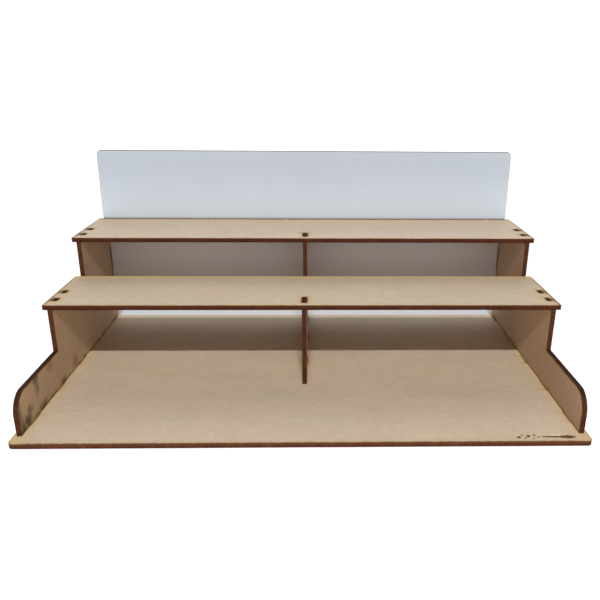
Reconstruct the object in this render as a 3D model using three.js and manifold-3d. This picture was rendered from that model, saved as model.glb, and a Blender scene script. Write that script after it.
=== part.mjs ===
// A two-tier paint rack organizer: seven panels of laser-cut sheet that slot and glue together.
//
// Millimetres, +Z up, +X to the right as seen by the user, who sits on the -Y side.
// The origin is on the table, under the middle of the rack's bounding box.
// The panels are laid out first with y counted from the front edge of the base board, and
// the last lines of the file move them all back so that the origin is in the middle.

import Module from "manifold-3d";
import * as THREE from "three";
import { mergeVertices } from "three/addons/utils/BufferGeometryUtils.js";

const wasm = await Module();
wasm.setup();

// ---- Sheet and joints --------------------------------------------------------------------
const SHEET = 3; // thickness of every panel
const KERF = 0.1; // clearance on each side of a tab in its slot
const CUT_THROUGH = 1; // how far a cutter passes beyond each face of the sheet

// ---- Overall layout ----------------------------------------------------------------------
const BASE_WIDTH = 333;
const SHELF_WIDTH = 335;
const FRAME_WIDTH = 328.5; // outer face of one side panel to outer face of the other
const BASE_DEPTH = 216; // front edge of the base board to the back panel
const LOWER_FRONT = 77.5; // y of the lower shelf's front edge
const UPPER_FRONT = 146; // y of the upper shelf's front edge
const SHELF_REAR_GAP = 1; // from the lower shelf's rear edge to the risers behind it

const BASE_TOP = SHEET;
const LOWER_TOP = BASE_TOP + 55.75; // top face of the lower shelf
const UPPER_TOP = LOWER_TOP + 28; // top face of the upper shelf
const BACK_BOTTOM = BASE_TOP + 28; // lower edge of the back panel
const BACK_TOP = UPPER_TOP + 53.75; // upper edge of the back panel
const OVERALL_DEPTH = BASE_DEPTH + SHEET;

// ---- The low wing in front of each side panel ---------------------------------------------
const WING_FRONT = 9;
const WING_TOP = BASE_TOP + 24.5;
const WING_RADIUS = 13;

// ---- Rounded corners -----------------------------------------------------------------------
const BASE_CORNER = 3.5;
const SHELF_CORNER = 1;
const BACK_CORNER = 3;

// ---- Tabs, each as [first, last] along the edge that carries it --------------------------------
const BASE_TAB_START = 23; // y of the first tab under a side panel
const BASE_TAB_LENGTH = 13;
const BASE_TAB_PITCH = 44.5;
const BASE_TAB_COUNT = 4;
const DIVIDER_MISSES = 2; // the divider is shorter and lacks this many of the front ones
const SIDE_BASE_TABS = repeatedTabs(BASE_TAB_START, BASE_TAB_LENGTH, BASE_TAB_PITCH, BASE_TAB_COUNT);
const DIVIDER_BASE_TABS = SIDE_BASE_TABS.slice(DIVIDER_MISSES);
const REAR_FOOT = 201; // from here to the rear edge, the uprights stand in notches open to the rear

const SHELF_TAB_START = 9.5; // from the shelf's front edge
const SHELF_TAB_LENGTH = 6.5;
const SHELF_TAB_PITCH = 17;
const SHELF_TAB_COUNT = 2;
const SIDE_SHELF_TABS = repeatedTabs(SHELF_TAB_START, SHELF_TAB_LENGTH, SHELF_TAB_PITCH, SHELF_TAB_COUNT);
const DIVIDER_SHELF_TABS = [[5.75, 18.25]]; // one longer tab, from the shelf's front edge
const REAR_TAB = [BASE_TOP + 44, BASE_TOP + 60]; // z of the tab that holds the back panel

// Curves become straight steps: this many on a quarter circle.
const CURVE_STEPS = 10;

const MDF_COLOUR = 0xb8a388;
const WHITE_COLOUR = 0xc8d0d6;

// ---- Small tools -----------------------------------------------------------------------------

/** Equal tabs along an edge, each as [first, last]. */
function repeatedTabs(first, length, pitch, count) {
  return Array.from({ length: count }, (_, i) => [first + i * pitch, first + i * pitch + length]);
}

/** The same tabs, further along the edge. */
function shifted(tabs, distance) {
  return tabs.map(([first, last]) => [first + distance, last + distance]);
}

/**
 * Takes an outline along an edge to `start`, out by `outward`, and back to the edge at `end`.
 * An outward step makes a tab and an inward step makes a notch.
 */
function addStep(shape, start, end, outward) {
  shape.lineTo(start[0], start[1]);
  shape.lineTo(start[0] + outward[0], start[1] + outward[1]);
  shape.lineTo(end[0] + outward[0], end[1] + outward[1]);
  shape.lineTo(end[0], end[1]);
}

/** A three.js geometry as a solid that can be cut. */
function toSolid(geometry) {
  const bare = geometry.clone();
  bare.deleteAttribute("normal");
  bare.deleteAttribute("uv");
  const merged = mergeVertices(bare);
  const mesh = new wasm.Mesh({
    numProp: 3,
    vertProperties: new Float32Array(merged.getAttribute("position").array),
    triVerts: new Uint32Array(merged.getIndex().array),
  });
  return new wasm.Manifold(mesh);
}

/** A cut solid as a three.js geometry with flat faces. */
function toGeometry(solid) {
  const mesh = solid.getMesh();
  const indexed = new THREE.BufferGeometry();
  indexed.setAttribute("position", new THREE.BufferAttribute(mesh.vertProperties, 3));
  indexed.setIndex(new THREE.BufferAttribute(mesh.triVerts, 1));
  const geometry = indexed.toNonIndexed();
  geometry.computeVertexNormals();
  return geometry;
}

/** What the laser removes for one tab: it passes through the sheet, and past an edge it makes a notch. */
function slotCutter({ centreX, first, last }) {
  const width = SHEET + 2 * KERF;
  const length = last - first + 2 * KERF;
  const height = SHEET + 2 * CUT_THROUGH;
  const box = new THREE.BoxGeometry(width, length, height);
  return toSolid(box.translate(centreX, (first + last) / 2, SHEET / 2));
}

/** A sheet cut from an outline, lying flat with its lower face at z = 0. */
function flatSheet(shape, slots = []) {
  const whole = new THREE.ExtrudeGeometry(shape, {
    depth: SHEET,
    bevelEnabled: false,
    curveSegments: CURVE_STEPS,
  });
  if (slots.length === 0) {
    return whole;
  }
  const cut = slots.reduce((solid, slot) => solid.subtract(slotCutter(slot)), toSolid(whole));
  return toGeometry(cut);
}

const X = new THREE.Vector3(1, 0, 0);
const Y = new THREE.Vector3(0, 1, 0);
const Z = new THREE.Vector3(0, 0, 1);
const MINUS_Y = new THREE.Vector3(0, -1, 0);

/** Stands a flat sheet fore and aft: its outline was drawn in y and z, and it thickens towards +X. */
function standUpright(sheet) {
  return sheet.applyMatrix4(new THREE.Matrix4().makeBasis(Y, Z, X));
}

/** Stands a flat sheet across the rack: its outline was drawn in x and z, and it thickens towards -Y. */
function standAcross(sheet) {
  return sheet.applyMatrix4(new THREE.Matrix4().makeBasis(X, Z, MINUS_Y));
}

const SIDE_CENTRE_X = FRAME_WIDTH / 2 - SHEET / 2;

// ---- Outlines ----------------------------------------------------------------------------------

/** The rear part of every upright, from the lower shelf's front corner round to the rear foot. */
function addStepsAndRear(shape, shelfTabs) {
  const lowerLedge = LOWER_TOP - SHEET;
  const upperLedge = UPPER_TOP - SHEET;
  shape.lineTo(LOWER_FRONT, lowerLedge);
  for (const [first, last] of shifted(shelfTabs, LOWER_FRONT)) {
    addStep(shape, [first, lowerLedge], [last, lowerLedge], [0, SHEET]);
  }
  shape.lineTo(UPPER_FRONT, lowerLedge);
  shape.lineTo(UPPER_FRONT, upperLedge);
  for (const [first, last] of shifted(shelfTabs, UPPER_FRONT)) {
    addStep(shape, [first, upperLedge], [last, upperLedge], [0, SHEET]);
  }
  shape.lineTo(BASE_DEPTH, upperLedge);
  addStep(shape, [BASE_DEPTH, REAR_TAB[1]], [BASE_DEPTH, REAR_TAB[0]], [SHEET, 0]);
  shape.lineTo(BASE_DEPTH, 0);
  shape.lineTo(REAR_FOOT, 0);
  shape.lineTo(REAR_FOOT, BASE_TOP);
}

/** The bottom edge of an upright, from the rear foot forwards, with tabs down into the base. */
function addBaseTabs(shape, tabs) {
  for (const [first, last] of [...tabs].reverse()) {
    addStep(shape, [last, BASE_TOP], [first, BASE_TOP], [0, -SHEET]);
  }
}

function sidePanelShape() {
  const shape = new THREE.Shape();
  shape.moveTo(WING_FRONT, BASE_TOP);
  shape.lineTo(WING_FRONT, WING_TOP - WING_RADIUS);
  shape.absarc(WING_FRONT + WING_RADIUS, WING_TOP - WING_RADIUS, WING_RADIUS, Math.PI, Math.PI / 2, true);
  shape.lineTo(LOWER_FRONT, WING_TOP);
  addStepsAndRear(shape, SIDE_SHELF_TABS);
  addBaseTabs(shape, SIDE_BASE_TABS);
  shape.closePath();
  return shape;
}

function dividerShape() {
  const shape = new THREE.Shape();
  shape.moveTo(LOWER_FRONT, BASE_TOP);
  addStepsAndRear(shape, DIVIDER_SHELF_TABS);
  addBaseTabs(shape, DIVIDER_BASE_TABS);
  shape.closePath();
  return shape;
}

/** A rectangle with rounded corners, centred on x = 0, from one depth or height to another. */
function roundedSheetShape(width, low, high, radius) {
  const shape = new THREE.Shape();
  const side = width / 2 - radius;
  shape.absarc(-side, low + radius, radius, Math.PI, 1.5 * Math.PI, false);
  shape.absarc(side, low + radius, radius, -Math.PI / 2, 0, false);
  shape.absarc(side, high - radius, radius, 0, Math.PI / 2, false);
  shape.absarc(-side, high - radius, radius, Math.PI / 2, Math.PI, false);
  return shape;
}

// ---- Slots, each where a tab of an upright passes through a sheet -------------------------------

/** A slot at each given x for every tab. */
function slotsFor(tabs, ...centres) {
  return centres.flatMap((centreX) => tabs.map(([first, last]) => ({ centreX, first, last })));
}

const BASE_SLOTS = [
  ...slotsFor(SIDE_BASE_TABS, -SIDE_CENTRE_X, SIDE_CENTRE_X),
  ...slotsFor(DIVIDER_BASE_TABS, 0),
  ...slotsFor([[REAR_FOOT, BASE_DEPTH]], -SIDE_CENTRE_X, 0, SIDE_CENTRE_X),
];
const SHELF_SLOTS = [
  ...slotsFor(SIDE_SHELF_TABS, -SIDE_CENTRE_X, SIDE_CENTRE_X),
  ...slotsFor(DIVIDER_SHELF_TABS, 0),
];
const BACK_SLOTS = slotsFor([REAR_TAB], -SIDE_CENTRE_X, 0, SIDE_CENTRE_X);

// ---- Panels --------------------------------------------------------------------------------------

function mdf() {
  return new THREE.MeshStandardMaterial({ color: MDF_COLOUR, roughness: 0.8, metalness: 0 });
}

function whiteFacedMdf() {
  return new THREE.MeshStandardMaterial({ color: WHITE_COLOUR, roughness: 0.45, metalness: 0 });
}

function panel(name, geometry, material, x, y, z) {
  const mesh = new THREE.Mesh(geometry, material);
  mesh.name = name;
  mesh.position.set(x, y, z);
  return mesh;
}

function baseBoard() {
  const shape = roundedSheetShape(BASE_WIDTH, 0, BASE_DEPTH, BASE_CORNER);
  return panel("base_board", flatSheet(shape, BASE_SLOTS), mdf(), 0, 0, 0);
}

function sidePanel(name, x) {
  return panel(name, standUpright(flatSheet(sidePanelShape())), mdf(), x, 0, 0);
}

function centreDivider() {
  return panel("centre_divider", standUpright(flatSheet(dividerShape())), mdf(), -SHEET / 2, 0, 0);
}

function shelf(name, front, rear, top) {
  const shape = roundedSheetShape(SHELF_WIDTH, 0, rear - front, SHELF_CORNER);
  return panel(name, flatSheet(shape, SHELF_SLOTS), mdf(), 0, front, top - SHEET);
}

function backPanel() {
  const shape = roundedSheetShape(FRAME_WIDTH, BACK_BOTTOM, BACK_TOP, BACK_CORNER);
  const geometry = standAcross(flatSheet(shape, BACK_SLOTS));
  return panel("back_panel", geometry, whiteFacedMdf(), 0, OVERALL_DEPTH, 0);
}

const rack = new THREE.Group();
rack.add(
  baseBoard(),
  sidePanel("left_side_panel", -FRAME_WIDTH / 2),
  sidePanel("right_side_panel", FRAME_WIDTH / 2 - SHEET),
  centreDivider(),
  shelf("lower_shelf", LOWER_FRONT, UPPER_FRONT - SHELF_REAR_GAP, LOWER_TOP),
  shelf("upper_shelf", UPPER_FRONT, BASE_DEPTH - KERF, UPPER_TOP),
  backPanel(),
);
rack.position.set(0, -OVERALL_DEPTH / 2, 0);

export default rack;
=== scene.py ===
"""Looks for a laser-cut paint rack: seven sheets with burnt edges, scorched faces and a white-faced back.

Every panel starts from its own CAD node, so its outline, slots and tabs are the design's. It gets
softened edges, a finer mesh, and the distance from each point to the nearest laser cut, which the
materials read to scorch the board beside its cuts. Sizes and places are in millimetres, in the
CAD's frame, and MM turns them into Blender's metres.
"""

import math
import random

import bmesh
import bpy
import numpy as np
from mathutils import Matrix, Vector


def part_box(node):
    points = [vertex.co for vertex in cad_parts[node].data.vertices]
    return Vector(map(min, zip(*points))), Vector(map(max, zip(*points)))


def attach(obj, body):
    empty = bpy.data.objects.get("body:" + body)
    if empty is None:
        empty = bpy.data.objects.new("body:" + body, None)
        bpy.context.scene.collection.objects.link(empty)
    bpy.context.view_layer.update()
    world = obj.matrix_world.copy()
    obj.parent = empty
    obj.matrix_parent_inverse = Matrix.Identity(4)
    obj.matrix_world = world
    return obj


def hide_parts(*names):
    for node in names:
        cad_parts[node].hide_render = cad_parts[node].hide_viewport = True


MM = 0.001
X, Y, Z = 0, 1, 2

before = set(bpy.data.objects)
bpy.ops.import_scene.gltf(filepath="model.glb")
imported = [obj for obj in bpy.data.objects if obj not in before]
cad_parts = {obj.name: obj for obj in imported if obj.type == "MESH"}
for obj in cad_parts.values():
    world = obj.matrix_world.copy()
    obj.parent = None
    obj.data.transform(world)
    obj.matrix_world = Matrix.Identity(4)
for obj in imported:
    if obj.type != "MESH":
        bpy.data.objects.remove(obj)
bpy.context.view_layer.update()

# ---- Places that the looks are set out from ------------------------------------------------------

BASE_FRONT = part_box("base_board")[0].y / MM
BASE_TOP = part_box("base_board")[1].z / MM
UPPER_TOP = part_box("upper_shelf")[1].z / MM
SHELF_REAR = {name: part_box(name)[1].y / MM for name in ("lower_shelf", "upper_shelf")}

# ---- Panels --------------------------------------------------------------------------------------

EDGE_SOFTENING = 0.18
EDGE_SEGMENTS = 2
CELL = 3.0  # how far apart the finer mesh's corners are
RIM_ANGLE = math.radians(40)  # an edge that turns by more than this is sharp
SMOOTH_ANGLE = math.radians(20)
FLAT_ANGLE = math.radians(0.5)
MERGE_DISTANCE = 0.001
LEVEL_TOLERANCE = 0.01
FACE_LEAN = 0.99  # a flat face's normal has at least this share along the sheet's thin axis
LARGE_FACE = 1000.0  # square millimetres: only the two faces of a sheet have any so large
LOW_FACE, HIGH_FACE, CUT_EDGE, ENGRAVING = range(4)  # a panel's surfaces, in the order of its materials


def sheet_axis(node):
    """The axis that a panel is thin along."""
    low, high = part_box(node)
    size = high - low
    return min((X, Y, Z), key=lambda axis: size[axis])


def clean_copy(node):
    """The CAD node as a bmesh with shared corners and no lines across its flat faces."""
    bm = bmesh.new()
    bm.from_mesh(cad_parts[node].data)
    bmesh.ops.remove_doubles(bm, verts=bm.verts, dist=MERGE_DISTANCE * MM)
    bmesh.ops.dissolve_limit(bm, angle_limit=FLAT_ANGLE, verts=bm.verts, edges=bm.edges)
    return bm


def is_level(vertex, axis, level):
    return abs(vertex.co[axis] - level) < LEVEL_TOLERANCE * MM


def is_sharp(edge):
    return len(edge.link_faces) == 2 and edge.calc_face_angle() > RIM_ANGLE


def rims_of(bm, axis, level):
    """The lines where one face of the sheet, at that level, meets what the laser cut."""
    return [e for e in bm.edges if is_sharp(e) and all(is_level(v, axis, level) for v in e.verts)]


def loops_of(rims):
    """The corners of each closed loop among some rim lines."""
    waiting = set(rims)
    loops = []
    while waiting:
        loop = [waiting.pop()]
        for edge in loop:
            beside = {e for v in edge.verts for e in v.link_edges} & waiting
            waiting -= beside
            loop.extend(beside)
        loops.append([v.co.copy() / MM for e in loop for v in e.verts])
    return loops


def slots_of(rims):
    """Each closed slot in a lying sheet as (centre x, first y, last y)."""
    loops = sorted(loops_of(rims), key=lambda loop: max(p.x for p in loop) - min(p.x for p in loop))
    boxes = []
    for loop in loops[:-1]:
        across = [p.x for p in loop]
        along = [p.y for p in loop]
        boxes.append(((min(across) + max(across)) / 2, min(along), max(along)))
    return sorted(boxes)


def soften(bm):
    """Rounds every sharp edge a little, as a laser leaves it."""
    bmesh.ops.bevel(
        bm,
        geom=[e for e in bm.edges if is_sharp(e)],
        offset=EDGE_SOFTENING * MM,
        segments=EDGE_SEGMENTS,
        profile=0.5,
        affect="EDGES",
        clamp_overlap=True,
    )


def divide(bm, axis):
    """Cuts the sheet into small cells, so that what is stored at their corners varies smoothly."""
    for across in {X, Y, Z} - {axis}:
        places = [v.co[across] for v in bm.verts]
        low, high = min(places), max(places)
        count = round((high - low) / (CELL * MM))
        normal = Vector([float(i == across) for i in range(3)])
        for i in range(1, count):
            point = normal * (low + (high - low) * i / count)
            whole = bm.verts[:] + bm.edges[:] + bm.faces[:]
            bmesh.ops.bisect_plane(bm, geom=whole, dist=1e-7, plane_co=point, plane_no=normal)


def distance_to(points, starts, ends):
    """The distance from each point to the nearest of some line segments."""
    nearest = np.full(len(points), np.inf)
    for a, b in zip(starts, ends):
        along = b - a
        share = np.clip((points - a) @ along / (along @ along), 0, 1)
        gap = np.linalg.norm(points - (a + share[:, None] * along), axis=1)
        nearest = np.minimum(nearest, gap)
    return nearest


def store(mesh, name, values):
    """Keeps a number for each of the mesh's corners, for the materials to read."""
    attribute = mesh.attributes.new(name, "FLOAT", "POINT")
    attribute.data.foreach_set("value", np.asarray(values, np.float32))


def temporary_object(bm):
    """An object made of the bmesh, to be removed when it has served."""
    mesh = bpy.data.meshes.new("temporary")
    bm.to_mesh(mesh)
    made = bpy.data.objects.new("temporary", mesh)
    bpy.context.scene.collection.objects.link(made)
    return made


class Panel:
    """A panel's finer copy on its way from the CAD node to the finished piece."""

    def __init__(self, node):
        self.node = node
        self.axis = sheet_axis(node)
        self.bm = clean_copy(node)
        large = [f for f in self.bm.faces if f.calc_area() > LARGE_FACE * MM**2]
        levels = [f.calc_center_median()[self.axis] for f in large]
        self.low, self.high = min(levels), max(levels)
        rims = [rims_of(self.bm, self.axis, level) for level in (self.low, self.high)]
        self.slots = slots_of(rims[1]) if self.axis == Z else []
        lines = rims[0] + rims[1]
        self.starts = np.array([e.verts[0].co for e in lines])
        self.ends = np.array([e.verts[1].co for e in lines])
        self.engraved = None
        soften(self.bm)

    def engrave(self, cutter):
        """Takes a cutter's shape out of the sheet."""
        sheet = temporary_object(self.bm)
        tool = temporary_object(cutter)
        cut = sheet.modifiers.new("engrave", "BOOLEAN")
        cut.object = tool
        cut.operation = "DIFFERENCE"
        cut.solver = "EXACT"
        carved = bpy.data.meshes.new_from_object(sheet.evaluated_get(bpy.context.evaluated_depsgraph_get()))
        self.bm.clear()
        self.bm.from_mesh(carved)
        places = [v.co for v in cutter.verts]
        self.engraved = [(min(p[i] for p in places), max(p[i] for p in places)) for i in (X, Y)]
        for piece in (sheet, tool):
            bpy.data.objects.remove(piece)

    def surface_of(self, face):
        """Which of the panel's surfaces a face belongs to."""
        lean = face.normal[self.axis]
        middle = face.calc_center_median()
        if lean < -FACE_LEAN and abs(middle[self.axis] - self.low) < LEVEL_TOLERANCE * MM:
            return LOW_FACE
        if lean > FACE_LEAN and abs(middle[self.axis] - self.high) < LEVEL_TOLERANCE * MM:
            return HIGH_FACE
        if self.engraved and all(low < middle[i] < high for i, (low, high) in enumerate(self.engraved)):
            return ENGRAVING
        return CUT_EDGE

    def finish(self, materials):
        """Divides the sheet, gives it its materials and stands it in for its node."""
        divide(self.bm, self.axis)
        self.bm.normal_update()
        for face in self.bm.faces:
            face.material_index = self.surface_of(face)
            face.smooth = True
        mesh = bpy.data.meshes.new(self.node + "_sheet")
        self.bm.to_mesh(mesh)
        self.bm.free()
        mesh.set_sharp_from_angle(angle=SMOOTH_ANGLE)
        for material in materials:
            mesh.materials.append(material)
        points = np.array([v.co for v in mesh.vertices])
        store(mesh, "cut_distance", distance_to(points, self.starts, self.ends) / MM)
        store(mesh, "sheet_depth", (points[:, self.axis] - self.low) / (self.high - self.low))
        piece = bpy.data.objects.new(self.node + "_sheet", mesh)
        bpy.context.scene.collection.objects.link(piece)
        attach(piece, "root")
        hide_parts(self.node)
        return piece


# ---- Shader tools --------------------------------------------------------------------------------


class Shader:
    """Builds a material. A value given to a node is a number, a colour or another node's output."""

    def __init__(self, name, seed=0):
        self.material = bpy.data.materials.new(name)
        self.material.use_nodes = True
        self.tree = self.material.node_tree
        self.surface = self.tree.nodes["Principled BSDF"]
        self.seed = seed
        place = self.node("ShaderNodeTexCoord").outputs["Object"]
        self.place = self.scaled(place, 1 / MM)

    def node(self, kind, **settings):
        made = self.tree.nodes.new(kind)
        for name, value in settings.items():
            setattr(made, name, value)
        return made

    def give(self, socket, value):
        if isinstance(value, bpy.types.NodeSocket):
            self.tree.links.new(value, socket)
        else:
            socket.default_value = value

    def math(self, operation, *values):
        made = self.node("ShaderNodeMath", operation=operation)
        for socket, value in zip(made.inputs, values):
            self.give(socket, value)
        return made.outputs[0]

    def vector(self, operation, *values):
        made = self.node("ShaderNodeVectorMath", operation=operation)
        for socket, value in zip(made.inputs, values):
            self.give(socket, value)
        return made.outputs["Value" if operation == "LENGTH" else "Vector"]

    def scaled(self, vector, amount):
        made = self.node("ShaderNodeVectorMath", operation="SCALE")
        self.give(made.inputs["Vector"], vector)
        self.give(made.inputs["Scale"], amount)
        return made.outputs["Vector"]

    def attribute(self, name):
        return self.node("ShaderNodeAttribute", attribute_name=name).outputs["Fac"]

    def noise(self, lump, detail=2.0, roughness=0.5, stretch=(1, 1, 1)):
        """Noise about 0, with lumps of that many millimetres, longer along a stretched axis."""
        shift = (37.0 * self.seed, 91.0 * self.seed + lump, 53.0 * self.seed)
        scale = [1 / (lump * s) for s in stretch]
        moved = self.vector("ADD", self.place, shift)
        made = self.node("ShaderNodeTexNoise")
        self.give(made.inputs["Vector"], self.vector("MULTIPLY", moved, scale))
        self.give(made.inputs["Scale"], 1.0)
        self.give(made.inputs["Detail"], detail)
        self.give(made.inputs["Roughness"], roughness)
        return self.math("MULTIPLY_ADD", made.outputs["Fac"], 4.0, -2.0)

    def between(self, value, low, high):
        """0 where value is at low, rising smoothly to 1 at high, whichever of them is the larger."""
        made = self.node("ShaderNodeMapRange", interpolation_type="SMOOTHSTEP")
        for socket, given in zip(made.inputs, (value, low, high, 0.0, 1.0)):
            self.give(socket, given)
        return made.outputs["Result"]

    def mix(self, share, a, b):
        """Colour a, going to colour b as share goes to 1."""
        made = self.node("ShaderNodeMix", data_type="RGBA")
        self.give(made.inputs["Factor"], share)
        self.give(made.inputs[6], a)
        self.give(made.inputs[7], b)
        return made.outputs[2]

    def total(self, *values):
        """The sum of some values."""
        whole = values[0]
        for value in values[1:]:
            whole = self.math("ADD", whole, value)
        return whole

    def share_of(self, amount, value):
        return self.math("MULTIPLY", amount, value)

    def patch(self, centre, reach, ragged, strength):
        """A soft patch: strength at its centre, fading to nothing at about reach along each axis."""
        away = self.vector("SUBTRACT", self.place, centre)
        size = self.math("ADD", self.vector("LENGTH", self.vector("DIVIDE", away, reach)), ragged)
        return self.share_of(self.between(size, 1.0, 0.1), strength)

    def patches(self, marks, ragged):
        """The strongest of several soft patches at each place."""
        amounts = [self.patch(*mark[:2], ragged, mark[2]) for mark in marks]
        whole = amounts[0]
        for amount in amounts[1:]:
            whole = self.math("MAXIMUM", whole, amount)
        return whole

    def bump(self, height, distance):
        """Raises the surface by up to that many millimetres as the height goes from 0 to 1."""
        made = self.node("ShaderNodeBump")
        self.give(made.inputs["Height"], height)
        self.give(made.inputs["Distance"], distance * MM)
        self.give(self.surface.inputs["Normal"], made.outputs["Normal"])


def colour(red, green, blue):
    """A colour as a screen shows it, 0 to 255, in the linear values that shaders take."""

    def linear(value):
        share = value / 255
        return share / 12.92 if share <= 0.04045 else ((share + 0.055) / 1.055) ** 2.4

    return (linear(red), linear(green), linear(blue), 1.0)


# ---- Materials -----------------------------------------------------------------------------------

GOLDEN_SCORCH = colour(186, 155, 97)
BROWN_SCORCH = colour(104, 62, 30)
SMOKE = colour(188, 158, 112)
YELLOWED = colour(206, 178, 124)
SOOT = colour(66, 46, 28)
CHARRED = colour(54, 24, 14)
CHARRED_LIGHT = colour(82, 45, 28)
CHARRED_RIM = colour(90, 54, 28)
BLACKENED = colour(46, 28, 20)

EVERYWHERE = 1e4  # a reach so long that a patch doesn't fade along that axis


def raw_board(s, tint, mottle, speckle, fibres):
    """The board's own colour, lighter and darker in blotches, and here and there pinkish or greenish."""
    blotch = s.noise(26, detail=3, stretch=(2.2, 1, 1))
    light = s.total(
        1.0,
        s.share_of(0.035, blotch),
        s.share_of(0.07, mottle),
        s.share_of(0.1, speckle),
        s.share_of(0.04, fibres),
    )
    board = s.scaled(tint[:3], light)
    pinkish = s.between(s.noise(19, detail=2, stretch=(2, 1, 1)), -0.7, 1.0)
    board = s.mix(pinkish, board, s.vector("MULTIPLY", board, (1.02, 0.985, 0.97)))
    greenish = s.between(s.noise(31, detail=2, stretch=(2, 1, 1)), -0.3, 1.2)
    return s.mix(greenish, board, s.vector("MULTIPLY", board, (0.95, 0.98, 0.93)))


def singed(s, board, singe, ragged):
    """A golden halo and a thin brown line beside the laser's cuts."""
    uneven = s.between(s.noise(14, detail=2), -1.2, 0.8)
    near = s.math("ADD", s.attribute("cut_distance"), s.share_of(0.5, ragged))
    halo = s.share_of(s.between(near, 6.0, 0.3), s.share_of(singe, uneven))
    board = s.mix(halo, board, GOLDEN_SCORCH)
    line = s.share_of(s.between(near, 1.5, 0.2), 0.9)
    return s.mix(line, board, BROWN_SCORCH)


def mdf_face(name, tint, seed, singe=0.65, scorches=(), smoke=(), soot=(), smoke_colour=SMOKE):
    """Raw board: pressed fibres, singed beside the cuts, with patches of scorching, smoke and soot."""
    s = Shader(name, seed)
    mottle = s.noise(4.5, detail=3, roughness=0.65, stretch=(1.3, 1, 1))
    speckle = s.noise(1.3, detail=3, roughness=0.75)
    fibres = s.noise(0.6, detail=1, stretch=(7, 1, 1))
    ragged = s.noise(2.5, detail=3, roughness=0.6)
    board = singed(s, raw_board(s, tint, mottle, speckle, fibres), singe, ragged)
    wisps = s.share_of(0.22, ragged)
    if smoke:
        board = s.mix(s.patches(smoke, wisps), board, smoke_colour)
    if scorches:
        marks = s.patches(scorches, wisps)
        board = s.mix(s.between(marks, 0.0, 0.7), board, GOLDEN_SCORCH)
        board = s.mix(s.between(marks, 0.5, 1.0), board, BROWN_SCORCH)
    if soot:
        plumes = s.noise(2.2, detail=3, roughness=0.6, stretch=(1, 1, 3))
        board = s.mix(s.patches(soot, s.share_of(0.35, plumes)), board, SOOT)

    s.give(s.surface.inputs["Base Color"], board)
    s.give(s.surface.inputs["Roughness"], s.math("MULTIPLY_ADD", speckle, 0.06, 0.74))
    s.give(s.surface.inputs["Specular IOR Level"], 0.3)
    s.bump(s.total(speckle, s.share_of(0.7, fibres), s.share_of(0.8, mottle)), 0.02)
    return s.material


def charred_edge(name, axis, seed, tone=(1.0, 1.0, 1.0)):
    """A laser-cut edge: dark brown, with fine lines through the sheet, lighter rims and a blackened top."""
    through = [1.0, 1.0, 1.0]
    through[axis] = 14.0
    s = Shader(name, seed)
    lines = s.noise(0.4, detail=2, stretch=through)
    clouds = s.noise(7, detail=3)
    fine = s.noise(0.3, detail=1)
    light = s.between(s.total(lines, s.share_of(0.7, clouds), s.share_of(0.3, fine)), -1.4, 2.0)
    edge = s.mix(light, CHARRED, CHARRED_LIGHT)
    depth = s.math("MULTIPLY_ADD", lines, 0.04, s.attribute("sheet_depth"))
    if axis == Z:
        rim = s.between(depth, 0.3, 0.9)
    else:
        rim = s.between(s.math("ABSOLUTE", s.math("SUBTRACT", depth, 0.5)), 0.34, 0.5)
    edge = s.mix(s.share_of(0.45, rim), edge, CHARRED_RIM)
    up = s.node("ShaderNodeSeparateXYZ")
    s.give(up.inputs[0], s.node("ShaderNodeNewGeometry").outputs["Normal"])
    edge = s.mix(s.share_of(0.7, s.between(up.outputs["Z"], 0.4, 0.9)), edge, BLACKENED)
    s.give(s.surface.inputs["Base Color"], s.vector("MULTIPLY", edge, tone))
    s.give(s.surface.inputs["Roughness"], s.math("MULTIPLY_ADD", lines, 0.05, 0.82))
    s.give(s.surface.inputs["Specular IOR Level"], 0.05)
    s.bump(lines, 0.03)
    return s.material


def engraved_mark():
    """What the laser leaves where it only grazes the board."""
    s = Shader("engraved_mark", 41)
    uneven = s.between(s.noise(1.2, detail=2), -1.0, 1.0)
    s.give(s.surface.inputs["Base Color"], s.mix(uneven, colour(74, 54, 32), colour(112, 86, 52)))
    s.give(s.surface.inputs["Roughness"], 0.8)
    s.give(s.surface.inputs["Specular IOR Level"], 0.15)
    s.bump(uneven, 0.03)
    return s.material


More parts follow.
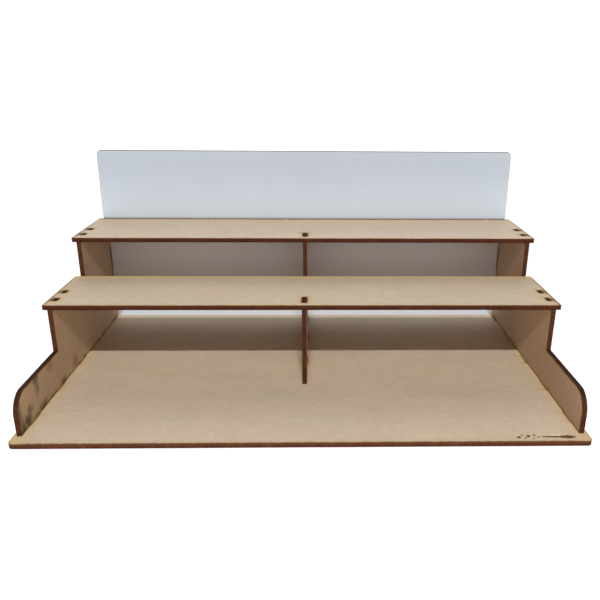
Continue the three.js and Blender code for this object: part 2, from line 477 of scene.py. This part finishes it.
def white_facing(name, seed):
    """Smooth white facing with faintly singed edges, and painted light: brighter just above the upper shelf
    and darker upwards, for light bounced off the shelf, and warmer below the upper shelf, for warm light
    bounced about the shaded bay.
    """
    s = Shader(name, seed)
    cloud = s.noise(45, detail=3)
    grain = s.noise(0.9, detail=2)
    light = s.total(1.0, s.share_of(0.012, cloud), s.share_of(0.008, grain))
    white = s.scaled(WHITE[:3], light)
    height = s.node("ShaderNodeSeparateXYZ")
    s.give(height.inputs[0], s.place)
    # painted light: brighter just above the upper shelf, for light bounced off it, darker upwards
    fade = s.between(height.outputs["Z"], UPPER_TOP, UPPER_TOP + PAINTED_LIGHT_HEIGHT)
    white = s.mix(fade, s.scaled(white, PAINTED_LIGHT_FROM), s.scaled(white, PAINTED_LIGHT_TO))
    # painted light: the facing below the upper shelf is tinted warmer and lighter, for warm light bounced
    # about the shaded bay
    below = s.between(height.outputs["Z"], UPPER_TOP, UPPER_TOP - PAINTED_WARMTH_DEPTH)
    white = s.mix(below, white, s.vector("MULTIPLY", white, PAINTED_WARMTH))
    seam = s.between(height.outputs["Z"], UPPER_TOP + SEAM_HEIGHT, UPPER_TOP)
    seam = s.share_of(seam, s.math("SUBTRACT", 1.0, below))
    white = s.mix(s.share_of(SEAM_STRENGTH, seam), white, BROWN_SCORCH)
    near = s.math("ADD", s.attribute("cut_distance"), s.share_of(0.3, s.noise(3, detail=2)))
    white = s.mix(s.share_of(0.3, s.between(near, 0.8, 0.0)), white, GOLDEN_SCORCH)
    s.give(s.surface.inputs["Base Color"], white)
    s.give(s.surface.inputs["Roughness"], s.math("MULTIPLY_ADD", grain, 0.04, 0.42))
    s.bump(s.math("MULTIPLY_ADD", cloud, 2.0, grain), 0.004)
    return s.material


# Each panel's tint is set to the brightness that panel shows, so the differences between them carry painted
# light as well as the board's own colour: the upper shelf's lighter tint is partly painted light, for the
# stronger light it gets nearer the lamp.
BASE_TINT = colour(186, 169, 147)
LOWER_TINT = colour(186, 170, 148)
UPPER_TINT = colour(199, 182, 164)
LEFT_TINT = colour(184, 156, 129)
RIGHT_TINT = colour(185, 155, 129)
DIVIDER_TINT = colour(180, 156, 129)
RAW_TINT = colour(180, 156, 129)
WHITE = colour(162, 171, 180)
# Painted light: a warmer, lighter tint on the facing below the upper shelf, for warm light bounced off the
# boards into the shaded bay.
PAINTED_WARMTH = (1.22, 1.03, 0.93)
PAINTED_WARMTH_DEPTH = 6.0  # the stretch below the upper shelf's top in which the facing grows warmer
SEAM_HEIGHT = 1.8  # of the brown line where the upper shelf meets the facing
SEAM_STRENGTH = 0.6
# Painted light: the facing is brighter just above the upper shelf, for light bounced off the shelf, and
# darker upwards.
PAINTED_LIGHT_HEIGHT = 46.0  # the stretch above the upper shelf in which the facing goes from light to dark
PAINTED_LIGHT_FROM, PAINTED_LIGHT_TO = 1.15, 0.87


# ---- Scorches, smoke and soot --------------------------------------------------------------------


def slot_streaks(panel, chance):
    """Streaks that the laser burnt across the ends of every slot."""
    level = panel.high / MM
    marks = []
    for centre, first, last in panel.slots:
        for end in (first, last):
            middle = (centre + chance.uniform(-2.0, 2.0), end, level)
            reach = (chance.uniform(7.0, 11.0), chance.uniform(1.5, 2.6), EVERYWHERE)
            marks.append((middle, reach, chance.uniform(0.3, 0.95)))
    return marks


def rear_smoke(name, depth, strength):
    """Smoke along a shelf's rear edge."""
    return [((0.0, SHELF_REAR[name], 0.0), (EVERYWHERE, depth, EVERYWHERE), strength)]


def on_side(marks):
    """Patches on an upright's face from (y from the base's front edge, height above the base, ...)."""
    return [
        ((0.0, BASE_FRONT + along, BASE_TOP + up), (EVERYWHERE, reach_along, reach_up), strength)
        for along, up, reach_along, reach_up, strength in marks
    ]


# Each as y from the base's front edge, height above the base, reach along, reach up, and strength.
LEFT_SOOT = (
    (37.5, 23, 7, 6, 0.7),
    (38.5, 17, 5, 7, 0.5),
    (25, 9, 7, 5, 0.6),
    (19.5, 4, 9, 7, 0.85),
    (13, 1, 8, 9, 0.85),
    (10.5, 11, 5, 15, 0.75),
    (32, 1, 12, 2.5, 0.5),
    (44, 2, 11, 5, 0.75),
    (62, 21, 8, 5, 0.3),
    (60, 1, 12, 2.5, 0.5),
    (81, 1.5, 9, 4.5, 0.8),
    (106, 6, 8, 7, 0.4),
    (124, 0, 7, 4, 0.8),
)
LEFT_SMOKE = (
    (71, 22, 10, 6, 0.7),
    (81, 36, 6, 12, 0.7),
    (50, 22, 16, 6, 0.4),
    (18, 12, 18, 16, 0.6),
)
# Both sides: along the foot, beside the slots in the base, and in the corner with the back panel.
SIDE_SOOT = (
    (0, 0, EVERYWHERE, 1.1, 0.5),
    (36, 0, 7, 2.2, 0.55),
    (67, 0, 6, 2.2, 0.6),
    (90, 0, 14, 1.6, 0.5),
    (112, 0, 7, 2.5, 0.65),
    (157, 0, 7, 2.5, 0.6),
    (170, 0, 8, 3, 0.6),
    (205, 0, 12, 4, 0.9),
    (217, 45, 6, 60, 1.0),
)
DIVIDER_SOOT = (
    (112, 0, 8, 3, 0.7),
    (170, 0, 8, 4, 0.8),
    (205, 0, 10, 5, 0.9),
    (217, 45, 5, 60, 0.9),
)
FOOT_X = 163.0  # how far from the middle the side panels' feet are
END_X = 168.0  # how far from the middle the base board's scorched ends are
# Yellowing along the feet of the side panels.
BASE_FEET = [((side * FOOT_X, 0.0, BASE_TOP), (9.0, EVERYWHERE, EVERYWHERE), 0.45) for side in (-1, 1)]
# Golden singeing on the strips of base outside the uprights.
BASE_ENDS = [((side * END_X, 0.0, BASE_TOP), (6.0, EVERYWHERE, EVERYWHERE), 0.5) for side in (-1, 1)]


# ---- The engraved mark ---------------------------------------------------------------------------

MARK_PLACE = (141, 5.4)  # x, and y from the base's front edge
MARK_DEPTH = 0.25
CUTTER_HEIGHT = 1.0  # enough to stand clear of the board
# A paintbrush lying along x, as (place along it, half its thickness there).
BRUSH = (
    (-3, 0.4),
    (-2, 0.7),
    (5, 1.0),
    (7.5, 0.8),
    (8.5, 1.5),
    (11, 1.6),
    (12.5, 2.1),
    (14.5, 1.5),
    (17, 0.2),
)
# Drops of paint beside its handle, each as x, y and radius.
PAINT_DROPS = (
    (-16.4, -0.6, 1.2),
    (-14.0, 1.7, 0.7),
    (-12.7, -1.5, 0.8),
    (-10.6, 0.7, 1.3),
    (-8.0, -1.7, 0.6),
    (-6.9, 1.8, 0.9),
    (-5.0, -0.4, 0.7),
)
DROP_SIDES = 12


def brush_outline():
    top = [(along, half) for along, half in BRUSH]
    bottom = [(along, -half) for along, half in BRUSH]
    return top + bottom[::-1]


def drop_outline(x, y, radius):
    turns = [2 * math.pi * i / DROP_SIDES for i in range(DROP_SIDES)]
    return [(x + radius * math.cos(turn), y + radius * math.sin(turn)) for turn in turns]


def mark_cutter():
    """A solid brush and drops that reach into the base board's top by the engraving's depth."""
    cutter = bmesh.new()
    bottom = (BASE_TOP - MARK_DEPTH) * MM
    for outline in (brush_outline(), *[drop_outline(*drop) for drop in PAINT_DROPS]):
        places = [((MARK_PLACE[0] + x) * MM, (BASE_FRONT + MARK_PLACE[1] + y) * MM) for x, y in outline]
        face = cutter.faces.new([cutter.verts.new((x, y, bottom)) for x, y in places])
        raised = bmesh.ops.extrude_face_region(cutter, geom=[face])["geom"]
        lifted = [v for v in raised if isinstance(v, bmesh.types.BMVert)]
        bmesh.ops.translate(cutter, verts=lifted, vec=(0, 0, CUTTER_HEIGHT * MM))
    bmesh.ops.recalc_face_normals(cutter, faces=cutter.faces)
    return cutter


# ---- The rack ------------------------------------------------------------------------------------

chance = random.Random(7)

BASE_EDGE = charred_edge("charred_base_edge", Z, 5, tone=(1.2, 1.4, 1.6))
SHELF_EDGE = charred_edge("charred_shelf_edge", Z, 6, tone=(0.78, 0.8, 0.8))
UPRIGHT_EDGE = charred_edge("charred_upright_edge", X, 3, tone=(1.0, 1.15, 1.3))
BACK_EDGE = charred_edge("charred_back_edge", Y, 4)


def build_base(node):
    panel = Panel(node)
    panel.engrave(mark_cutter())
    scorches = slot_streaks(panel, chance) + BASE_ENDS
    face = mdf_face(node + "_board", BASE_TINT, 1, 0.45, scorches, BASE_FEET, smoke_colour=YELLOWED)
    panel.finish((face, face, BASE_EDGE, engraved_mark()))


def build_shelf(node, tint, seed, smoke, soot=()):
    panel = Panel(node)
    streaks = slot_streaks(panel, chance)
    stains = {"scorches": streaks, "smoke": smoke, "soot": soot, "smoke_colour": YELLOWED}
    face = mdf_face(node + "_board", tint, seed, **stains)
    panel.finish((face, face, SHELF_EDGE))


def build_upright(node, tint, seed, stained_face, smoke, soot):
    """A side panel or the divider, with smoke and soot on one of its two faces."""
    faces = [mdf_face(node + "_board", tint, seed)] * 2
    faces[stained_face] = mdf_face(node + "_inner_board", tint, seed, smoke=smoke, soot=soot)
    Panel(node).finish((*faces, UPRIGHT_EDGE))


def build_back(node):
    rear = mdf_face("back_panel_raw_side", RAW_TINT, 29)
    Panel(node).finish((white_facing("white_facing", 31), rear, BACK_EDGE))


lower_smoke = rear_smoke("lower_shelf", 10, 0.75)
upper_smoke = rear_smoke("upper_shelf", 26, 0.45)
upper_seam = rear_smoke("upper_shelf", 4.5, 1.0)
left_smoke = on_side(LEFT_SMOKE)
left_soot = on_side(LEFT_SOOT + SIDE_SOOT)

build_base("base_board")
build_shelf("lower_shelf", LOWER_TINT, 2, lower_smoke)
build_shelf("upper_shelf", UPPER_TINT, 5, upper_smoke, upper_seam)
build_upright("left_side_panel", LEFT_TINT, 11, HIGH_FACE, left_smoke, left_soot)
build_upright("right_side_panel", RIGHT_TINT, 13, LOW_FACE, (), on_side(SIDE_SOOT))
build_upright("centre_divider", DIVIDER_TINT, 17, HIGH_FACE, (), on_side(DIVIDER_SOOT))
build_back("back_panel")


# ---- Floor, light and camera ---------------------------------------------------------------------

FLOOR_HALF = 6.0  # metres
FLOOR_GLOW = 0.3
FLOOR_FAR_GLOW = 0.8
FLOOR_COLOUR = (0.8, 0.8, 0.8, 1.0)
# Painted shadow: behind the rack the floor takes a darker colour and no glow, standing for the rack's
# shadow there.
FLOOR_PAINTED_SHADOW_COLOUR = (0.58, 0.585, 0.595, 1.0)
PAINTED_SHADOW_HALF_WIDTH = 175  # the stretch of floor behind the rack that doesn't glow
PAINTED_SHADOW_FIRST, PAINTED_SHADOW_LAST = 108, 220
PAINTED_SHADOW_FADE = 50  # how far out from its ends the floor glows fully again
PAINTED_SHADOW_FADE_FIRST, PAINTED_SHADOW_FADE_LAST = 60, 340  # and the same in front of it and behind it
GLOW_RISE = (350.0, 1500.0)  # the distances between which the glow rises to the far glow

KEY_DISTANCE = 1800  # from the lower shelf's front edge
KEY_ELEVATION = math.radians(41.7)
KEY_ACROSS = 25
KEY_SIZE = 40
KEY_LENGTH = 300  # across the rack
KEY_POWER = 33.0  # watts

HORIZON_LEVEL = 1.1
HORIZON_FADE = (0.10, 0.26)
SKY_COLOUR = (0.97, 0.985, 1.0, 1.0)
FRONT_COLOUR = (1.06, 0.93, 0.84, 1.0)  # warmer in front of the rack than behind it
# Soft boxes around the rack, each as (direction towards it, sharpness, brightness).
SOFT_BOXES = (
    ((0, -1, 0.5), 4, 0.3),
    ((0, -1, 0.12), 8, 0.9),
    ((0, 1, 0.95), 10, 3.3),
)


def make_floor():
    """A pale floor that glows a little, so that it stays white where less of the key light reaches it.
    Behind the rack it has a painted shadow: a darker colour and no glow.
    """
    s = Shader("pale_floor")
    s.give(s.surface.inputs["Roughness"], 1.0)
    s.give(s.surface.inputs["Specular IOR Level"], 0.0)
    s.give(s.surface.inputs["Emission Color"], (1.0, 1.0, 1.0, 1.0))
    away = s.between(s.vector("LENGTH", s.place), *GLOW_RISE)
    glow = s.math("MULTIPLY_ADD", away, FLOOR_FAR_GLOW - FLOOR_GLOW, FLOOR_GLOW)
    split = s.node("ShaderNodeSeparateXYZ")
    s.give(split.inputs[0], s.place)
    beside = s.math("ABSOLUTE", split.outputs["X"])
    # painted shadow behind the rack: there the floor gets a darker colour and no glow
    across = s.between(beside, PAINTED_SHADOW_HALF_WIDTH + PAINTED_SHADOW_FADE, PAINTED_SHADOW_HALF_WIDTH)
    begins = s.between(split.outputs["Y"], PAINTED_SHADOW_FADE_FIRST, PAINTED_SHADOW_FIRST)
    ends = s.between(split.outputs["Y"], PAINTED_SHADOW_FADE_LAST, PAINTED_SHADOW_LAST)
    dim = s.share_of(across, s.share_of(begins, ends))
    glow = s.share_of(glow, s.math("SUBTRACT", 1.0, dim))
    s.give(s.surface.inputs["Base Color"], s.mix(dim, FLOOR_COLOUR, FLOOR_PAINTED_SHADOW_COLOUR))
    s.give(s.surface.inputs["Emission Strength"], glow)
    mesh = bpy.data.meshes.new("floor")
    h = FLOOR_HALF
    mesh.from_pydata([(-h, -h, 0), (h, -h, 0), (h, h, 0), (-h, h, 0)], [], [(0, 1, 2, 3)])
    mesh.materials.append(s.material)
    floor = bpy.data.objects.new("floor", mesh)
    bpy.context.scene.collection.objects.link(floor)


def make_key():
    """A lamp high in front of the rack. The lower shelf's front edge throws its shadow along the base."""
    edge = Vector((0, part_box("lower_shelf")[0].y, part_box("lower_shelf")[0].z))
    towards = Vector((0, -math.cos(KEY_ELEVATION), math.sin(KEY_ELEVATION)))
    lamp = bpy.data.lights.new("key", "AREA")
    lamp.shape = "RECTANGLE"
    lamp.size = KEY_LENGTH * MM
    lamp.size_y = KEY_SIZE * MM
    lamp.energy = KEY_POWER
    key = bpy.data.objects.new("key", lamp)
    key.location = edge + towards * KEY_DISTANCE * MM + Vector((KEY_ACROSS * MM, 0, 0))
    key.rotation_euler = towards.to_track_quat("Z", "Y").to_euler()
    bpy.context.scene.collection.objects.link(key)


def make_sky():
    """White at the horizon, and above it dim but for the soft boxes."""
    world = bpy.data.worlds.new("studio")
    world.use_nodes = True
    tree = world.node_tree
    background = tree.nodes["Background"]
    place = tree.nodes.new("ShaderNodeTexCoord").outputs["Generated"]

    def math_node(operation, *values):
        made = tree.nodes.new("ShaderNodeMath")
        made.operation = operation
        for socket, value in zip(made.inputs, values):
            if isinstance(value, bpy.types.NodeSocket):
                tree.links.new(value, socket)
            else:
                socket.default_value = value
        return made.outputs[0]

    def facing(direction):
        made = tree.nodes.new("ShaderNodeVectorMath")
        made.operation = "DOT_PRODUCT"
        tree.links.new(place, made.inputs[0])
        made.inputs[1].default_value = Vector(direction).normalized()
        return math_node("MAXIMUM", made.outputs["Value"], 0.0)

    hue = tree.nodes.new("ShaderNodeMix")
    hue.data_type = "RGBA"
    tree.links.new(facing((0, -1, 0)), hue.inputs["Factor"])
    hue.inputs[6].default_value = SKY_COLOUR
    hue.inputs[7].default_value = FRONT_COLOUR
    tree.links.new(hue.outputs[2], background.inputs["Color"])
    rise = tree.nodes.new("ShaderNodeMapRange")
    tree.links.new(facing((0, 0, 1)), rise.inputs["Value"])
    rise.inputs["From Min"].default_value = HORIZON_FADE[0]
    rise.inputs["From Max"].default_value = HORIZON_FADE[1]
    rise.inputs["To Min"].default_value = HORIZON_LEVEL
    rise.inputs["To Max"].default_value = 0.0
    level = rise.outputs["Result"]
    for direction, sharpness, brightness in SOFT_BOXES:
        box = math_node("POWER", facing(direction), sharpness)
        level = math_node("MULTIPLY_ADD", box, brightness, level)
    tree.links.new(level, background.inputs["Strength"])
    bpy.context.scene.world = world


CAMERA_PLACE = Vector((5.15, -444.5, 198.7))
CAMERA_YAW = -0.02822  # this and the next two are in radians
CAMERA_PITCH = 0.37141
CAMERA_ROLL = 0.00858
CAMERA_LENS = 40.53
CAMERA_SHIFT = (-0.05, 0.0595)


def make_camera():
    """A camera in front of the rack, a little above it, looking down at it."""
    camera = bpy.data.cameras.new("camera")
    camera.lens = CAMERA_LENS
    camera.shift_x, camera.shift_y = CAMERA_SHIFT
    camera.clip_start = 0.01
    holder = bpy.data.objects.new("camera", camera)
    turn = Matrix.Rotation(CAMERA_YAW, 4, "Z")
    tilt = Matrix.Rotation(math.pi / 2 - CAMERA_PITCH, 4, "X")
    roll = Matrix.Rotation(CAMERA_ROLL, 4, "Z")
    holder.matrix_world = Matrix.Translation(CAMERA_PLACE * MM) @ turn @ tilt @ roll
    bpy.context.scene.collection.objects.link(holder)
    bpy.context.scene.camera = holder


make_floor()
make_key()
make_sky()
make_camera()
bpy.context.scene.view_settings.view_transform = "Standard"

bpy.context.view_layer.update()
